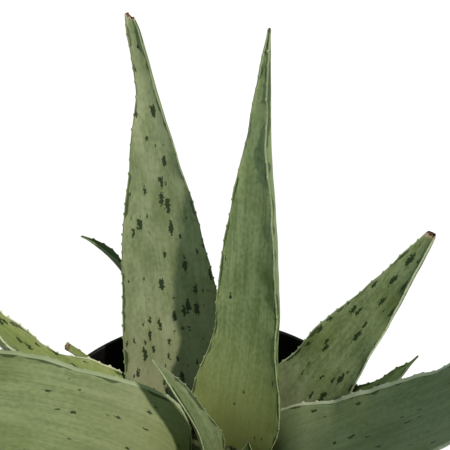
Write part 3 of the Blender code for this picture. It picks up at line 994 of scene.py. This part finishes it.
@dataclass(frozen=True)
class Studio:
    """The camera, the lights and the plain pale floor.

    The places of the camera and the lamps are in metres, the floor's two sizes in millimetres.
    """

    eye: tuple[float, float, float] = (0.011157, -0.359670, 0.477329)
    look_down: float = 33.514
    tilt: float = -1.0
    lens: float = 86.11
    sensor: float = 36.0
    aim: tuple[float, float, float] = (0.0, 0.0, 0.17)
    key_from: tuple[float, float, float] = (0.512, -0.551, 0.669)
    distance: float = 1.7
    key_size: float = 0.1
    key_watts: float = 24.0
    key_colour: str = "FFF1E7"
    fill_from: tuple[float, float, float] = (-0.6, -0.9, 1.0)
    fill_size: float = 1.2
    fill_watts: float = 1.0
    sky: str = "E4FBEA"
    sky_strength: float = 0.315
    floor_colour: str = "9A9A9A"
    floor_glow: float = 0.88
    floor_reach: float = 3000.0
    floor_below: float = 0.2

    def camera(self) -> None:
        """Stand the camera at its place, level with +Y, then look down and tilt."""
        lens = bpy.data.cameras.new("camera")
        lens.lens, lens.sensor_width, lens.clip_start = self.lens, self.sensor, 0.01
        camera = bpy.data.objects.new("camera", lens)
        pitch = Matrix.Rotation(math.radians(90 - self.look_down), 4, "X")
        roll = Matrix.Rotation(math.radians(self.tilt), 4, "Z")
        camera.matrix_world = Matrix.Translation(self.eye) @ pitch @ roll
        bpy.context.scene.collection.objects.link(camera)
        bpy.context.scene.camera = camera

    def lamp(self, name: str, towards: Sequence[float], size: float, watts: float, colour: str) -> None:
        """Hang a square lamp that looks at the plant.

        Args:
            name: The lamp's name.
            towards: Direction from the plant to the lamp.
            size: Side of the square in metres.
            watts: Its power.
            colour: Its colour.
        """
        light = bpy.data.lights.new(name, "AREA")
        light.size, light.energy, light.color = size, watts, linear(colour)[:3]
        lamp = bpy.data.objects.new(name, light)
        away = Vector(towards).normalized() * self.distance
        lamp.location = Vector(self.aim) + away
        lamp.rotation_euler = away.to_track_quat("Z", "Y").to_euler()
        bpy.context.scene.collection.objects.link(lamp)

    def floor(self) -> None:
        """Lay the floor: a pale painted board that glows a little, so that it stays clean white."""
        material, tree = new_material("Studio board, matt white paint")
        paint = {"Base Color": linear(self.floor_colour), "Roughness": 0.9}
        glow = {"Emission Color": (1.0, 1.0, 1.0, 1.0), "Emission Strength": self.floor_glow}
        shader = add_node(tree, "BsdfPrincipled", paint | glow)
        add_node(tree, "OutputMaterial", (shader[0],))
        corners = np.array([[-1, -1, 0], [1, -1, 0], [1, 1, 0], [-1, 1, 0]]) * self.floor_reach
        corners[:, 2] = -self.floor_below
        board = new_piece("floor", corners, (np.array([[0, 1, 2, 3]]),))
        board.data.materials.append(material)
        board.visible_diffuse = False

    def build(self) -> None:
        """Set up the camera, the floor, the lamps and the sky."""
        self.camera()
        self.floor()
        self.lamp("key", self.key_from, self.key_size, self.key_watts, self.key_colour)
        self.lamp("fill", self.fill_from, self.fill_size, self.fill_watts, self.sky)
        world = bpy.data.worlds.new("sky")
        world.use_nodes = True
        world.node_tree.nodes.clear()
        glow = add_node(world.node_tree, "Background", (linear(self.sky), self.sky_strength))
        add_node(world.node_tree, "OutputWorld", (glow[0],))
        bpy.context.scene.world = world
        bpy.context.scene.view_settings.view_transform = "Standard"


SPARSE = LeafSkin()
TALL_LEFT = LeafSkin(
    light="9CA783", dark="78885E", heart="908F74", flecks=0.5, fleck_size=(0.08, 0.34), dry="B8AD94",
    scar="6A3A24", dry_length=1.7, streaks=0.2,
)
# Its foot colour is painted light: paler than its own tone, to offset the shade cast on its foot.
TALL_CENTRE = LeafSkin(
    light="94A779", dark="697E4F", streaks=0.35, back="6F8650", heart="777F47", foot_shading_share=0.8,
    flecks=0.1, gaps=0.2, taper=0.3, dry="66735A", scar="6C7864", dry_length=2.0,
)
RIGHT = LeafSkin(
    light="8A9A72", dark="5F7045", heart="8C9176", blotches=0.55, flecks=0.7, fleck_size=(0.08, 0.32),
    band=0.9, taper=0.6, gaps=0.1, margin="A8B594", dry="B4A284", scar="45241A", dry_length=3.2,
    streaks=0.25,
)
LOW_RIGHT = LeafSkin(light="8C9E62", dark="62763F", flecks=0.6, band=0.3)
# Its foot colour is painted shade: darker towards the foot, where it lies deep in the rosette.
BROAD_LEFT = LeafSkin(
    light="8B996D", dark="6E7F54", heart="7A8358", flecks=0.22, fleck_size=(0.06, 0.18), band=2.2,
    taper=0.1, gaps=0.0, margin="9AAA85",
)
# Its foot colour is painted light: paler than its own tone, to offset the shade on its foot beside the tall
# centre leaf.
BROAD_RIGHT = LeafSkin(
    light="82936E", dark="64774F", heart="8D9876", flecks=0.22, fleck_size=(0.06, 0.18), band=2.2,
    taper=0.1, gaps=0.0, margin="BFC8B0",
)
# Its pale band is partly the margin's own pale horn and partly a painted highlight, paler than the other
# leaves' bands where light glances off its top edge.
BACK_LEFT = LeafSkin(
    light="94A366", dark="7C8E50", back="6E7F48", heart="86954E", flecks=0.5, band=1.0, gaps=0.3,
    margin="CCD4B0",
)
# The hidden left leaf's colours are painted shade: they are darkened to look like a leaf lying in shade
# behind the tall left one.
SHADED_HIDDEN_LEFT = LeafSkin(light="5E7040", dark="46572C", back="4A5A30", flecks=0.2, band=0.4, dry_length=0.5)
STUB = LeafSkin(
    light="94A262", dark="7A8A4C", flecks=0.2, band=0.3, dry="6A3F28", scar="9A8A6A", dry_length=1.8,
)
YOUNG = LeafSkin(
    light="788863", dark="5D6E48", flecks=0.3, fleck_size=(0.08, 0.18), band=0.4, gaps=0.5,
    margin="A4B28E", foot_shading_share=0.3, dry="8A9878", scar="A0AC8C",
)
# The heart leaf's skin is painted shade: its colours are darkened to look like its hollow lying in shade deep
# in the rosette.
SHADED_HEART = LeafSkin(
    light="465632", dark="34442A", heart="2E3C22", flecks=0.1, band=0.4, gaps=0.0, margin="7C8C5C",
)

# The leaves, from the tall ones at the back round to the short ones in front
ROSETTE = (
    Leaf(
        "leaf_tall_left", foot=(-10, 27), heading=98, turn=16.5, climb=(81, 58.5, 80, 49), length=206,
        roll=(-8, -42), half_widths=(14, 27, 24.5, 20, 12, 5, 4), folds=(34, 15, 45, 97), thickness=5.5,
        seed=1, skin=TALL_LEFT, flesh=0.6, tip_half_width=2, tip=Tip.BROKEN, cut=3.3,
    ),
    Leaf(
        "leaf_tall_centre", foot=(16, 12), heading=65.5, turn=-5, climb=(85.5, 71.5, 86, 77.5), length=206,
        roll=(3, -6.5), half_widths=(15.5, 26.5, 19, 16.5, 9.5, 4.5, 1.5), folds=(57, 61, 74, 128),
        thickness=5.5, seed=2, skin=TALL_CENTRE, flesh=0.72,
    ),
    Leaf(
        "leaf_right", foot=(37, 17), heading=24, turn=7.5, climb=(74.5, 56.5, 45, 52.5), length=126,
        roll=(14.5, 2), half_widths=(12, 26, 20.5, 17, 11.5, 7.5, 4.5), folds=(34, 24, 48, 84), thickness=5,
        seed=3, skin=RIGHT, flesh=0.65, tip_half_width=3, tip=Tip.BROKEN,
    ),
    Leaf(
        "leaf_low_right", foot=(52, 6), heading=-16, turn=16.5, climb=(49.5, 68, 55.5, 54.5), length=82,
        roll=(1, 3.5), half_widths=(5, 5.5, 7.5, 12.5, 6.5, 3.5, 1), folds=(41, 32, 29, 51), thickness=2.4,
        seed=4, skin=LOW_RIGHT, ring=20,
    ),
    Leaf(
        "leaf_broad_left", foot=(-20, -13.5), heading=184, turn=4.5, climb=(95.5, 43, 19.5, 11), length=196,
        roll=(-31, 8.5), half_widths=(14, 33.5, 32.5, 35.5, 27, 18, 9), folds=(39, 27, 14, 45), thickness=7,
        seed=5, skin=BROAD_LEFT, ring=42,
    ),
    Leaf(
        "leaf_broad_right", foot=(37, -14), heading=-25.5, turn=-5, climb=(92, 43.5, 47, 52), length=215,
        roll=(16.5, 1.5), half_widths=(34.5, 30.5, 27, 25.5, 18.5, 13, 7), folds=(76, 32, 12, 60),
        thickness=7, seed=6, skin=BROAD_RIGHT, flesh=0.2, ring=42,
    ),
    Leaf(
        "leaf_back_left", foot=(-31.5, 21.5), heading=181, turn=-10.5, climb=(70, 43, 48.5, 21.5), length=146,
        roll=(-24, 23), half_widths=(5, 23, 19, 9.5, 9.5, 5.5, 3.5), folds=(39, 28, 60, 81), thickness=4.5,
        seed=7, skin=BACK_LEFT, tooth=1.3, wave=0.9,
    ),
    Leaf(
        "leaf_hidden_left", foot=(-3, 41), heading=131, turn=24, climb=(45, 53.5, 60.5, 5), length=111,
        roll=(0, 0.5), half_widths=(8, 10, 9, 6.5, 2.5, 1.5, 1), folds=(50, 45, 55, 79), thickness=4, seed=8,
        skin=SHADED_HIDDEN_LEFT, ring=22,
    ),
    Leaf(
        "leaf_stub", foot=(-28.5, 38), heading=170, turn=4, climb=(39, 50.5, 53, 33.5), length=59,
        roll=(-1.5, 2.5), half_widths=(4, 2.5, 2, 3.5, 3, 2.5, 2.5), folds=(46, 38, 34, 35), thickness=1.8,
        seed=9, skin=STUB, tip_half_width=3.2, tip=Tip.BROKEN, ring=18, wave=0.2,
    ),
    Leaf(
        "leaf_young", foot=(5, -11), heading=149.5, turn=6, climb=(80, 88, 61, 46), length=73,
        roll=(-2, -4.5), half_widths=(6, 7, 8, 5.5, 4.5, 2.5, 1), folds=(39, 31, 41, 41), thickness=3,
        seed=10, skin=YOUNG, flesh=0.3, ring=20, wave=0.2,
    ),
    Leaf(
        "leaf_heart", foot=(19.5, -3.5), heading=75, turn=0, climb=(80, 82, 84, 88), length=17, roll=(0, 0),
        half_widths=(7, 10, 10, 8, 5.5, 3, 1.2), folds=(70, 70, 70, 70), thickness=2, seed=11, skin=SHADED_HEART,
        flesh=0.1, ring=16, wave=0.1,
    ),
    Leaf(
        "leaf_front_left", foot=(-6, -18), heading=226, turn=6, climb=(72, 42, 34, 22), length=118,
        roll=(0, 0), half_widths=(14.5, 18, 19, 16, 11, 6.5, 3), folds=(50, 46, 52, 75), thickness=5, seed=12,
        skin=SPARSE,
    ),
    Leaf(
        "leaf_front", foot=(5, -41), heading=258, turn=2, climb=(74, 54, 28, 12), length=139, roll=(0, 0),
        half_widths=(15, 19, 20, 18, 13, 8, 4), folds=(40, 34, 40, 60), thickness=5.5, seed=13, skin=SPARSE,
    ),
    Leaf(
        "leaf_front_right", foot=(21, -24), heading=288, turn=-4, climb=(75, 56, 38, 24), length=135,
        roll=(0, 0), half_widths=(12.5, 16, 18.5, 17.5, 12.5, 8, 4), folds=(55, 50, 50, 70), thickness=5.5,
        seed=14, skin=SPARSE,
    ),
)


def main() -> None:
    """Build the pot, the soil, the stem and the rosette in their studio."""
    logging.basicConfig(level=logging.INFO, format="%(message)s")
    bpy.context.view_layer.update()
    Studio().build()
    for part in (Pot(), Soil(), Stem()):
        LOG.info("built %s", part.build().name)
    for leaf in ROSETTE:
        blade = leaf.build()
        LOG.info("built %s with %d faces", blade.name, len(blade.data.polygons))


if __name__ == "__main__":
    main()
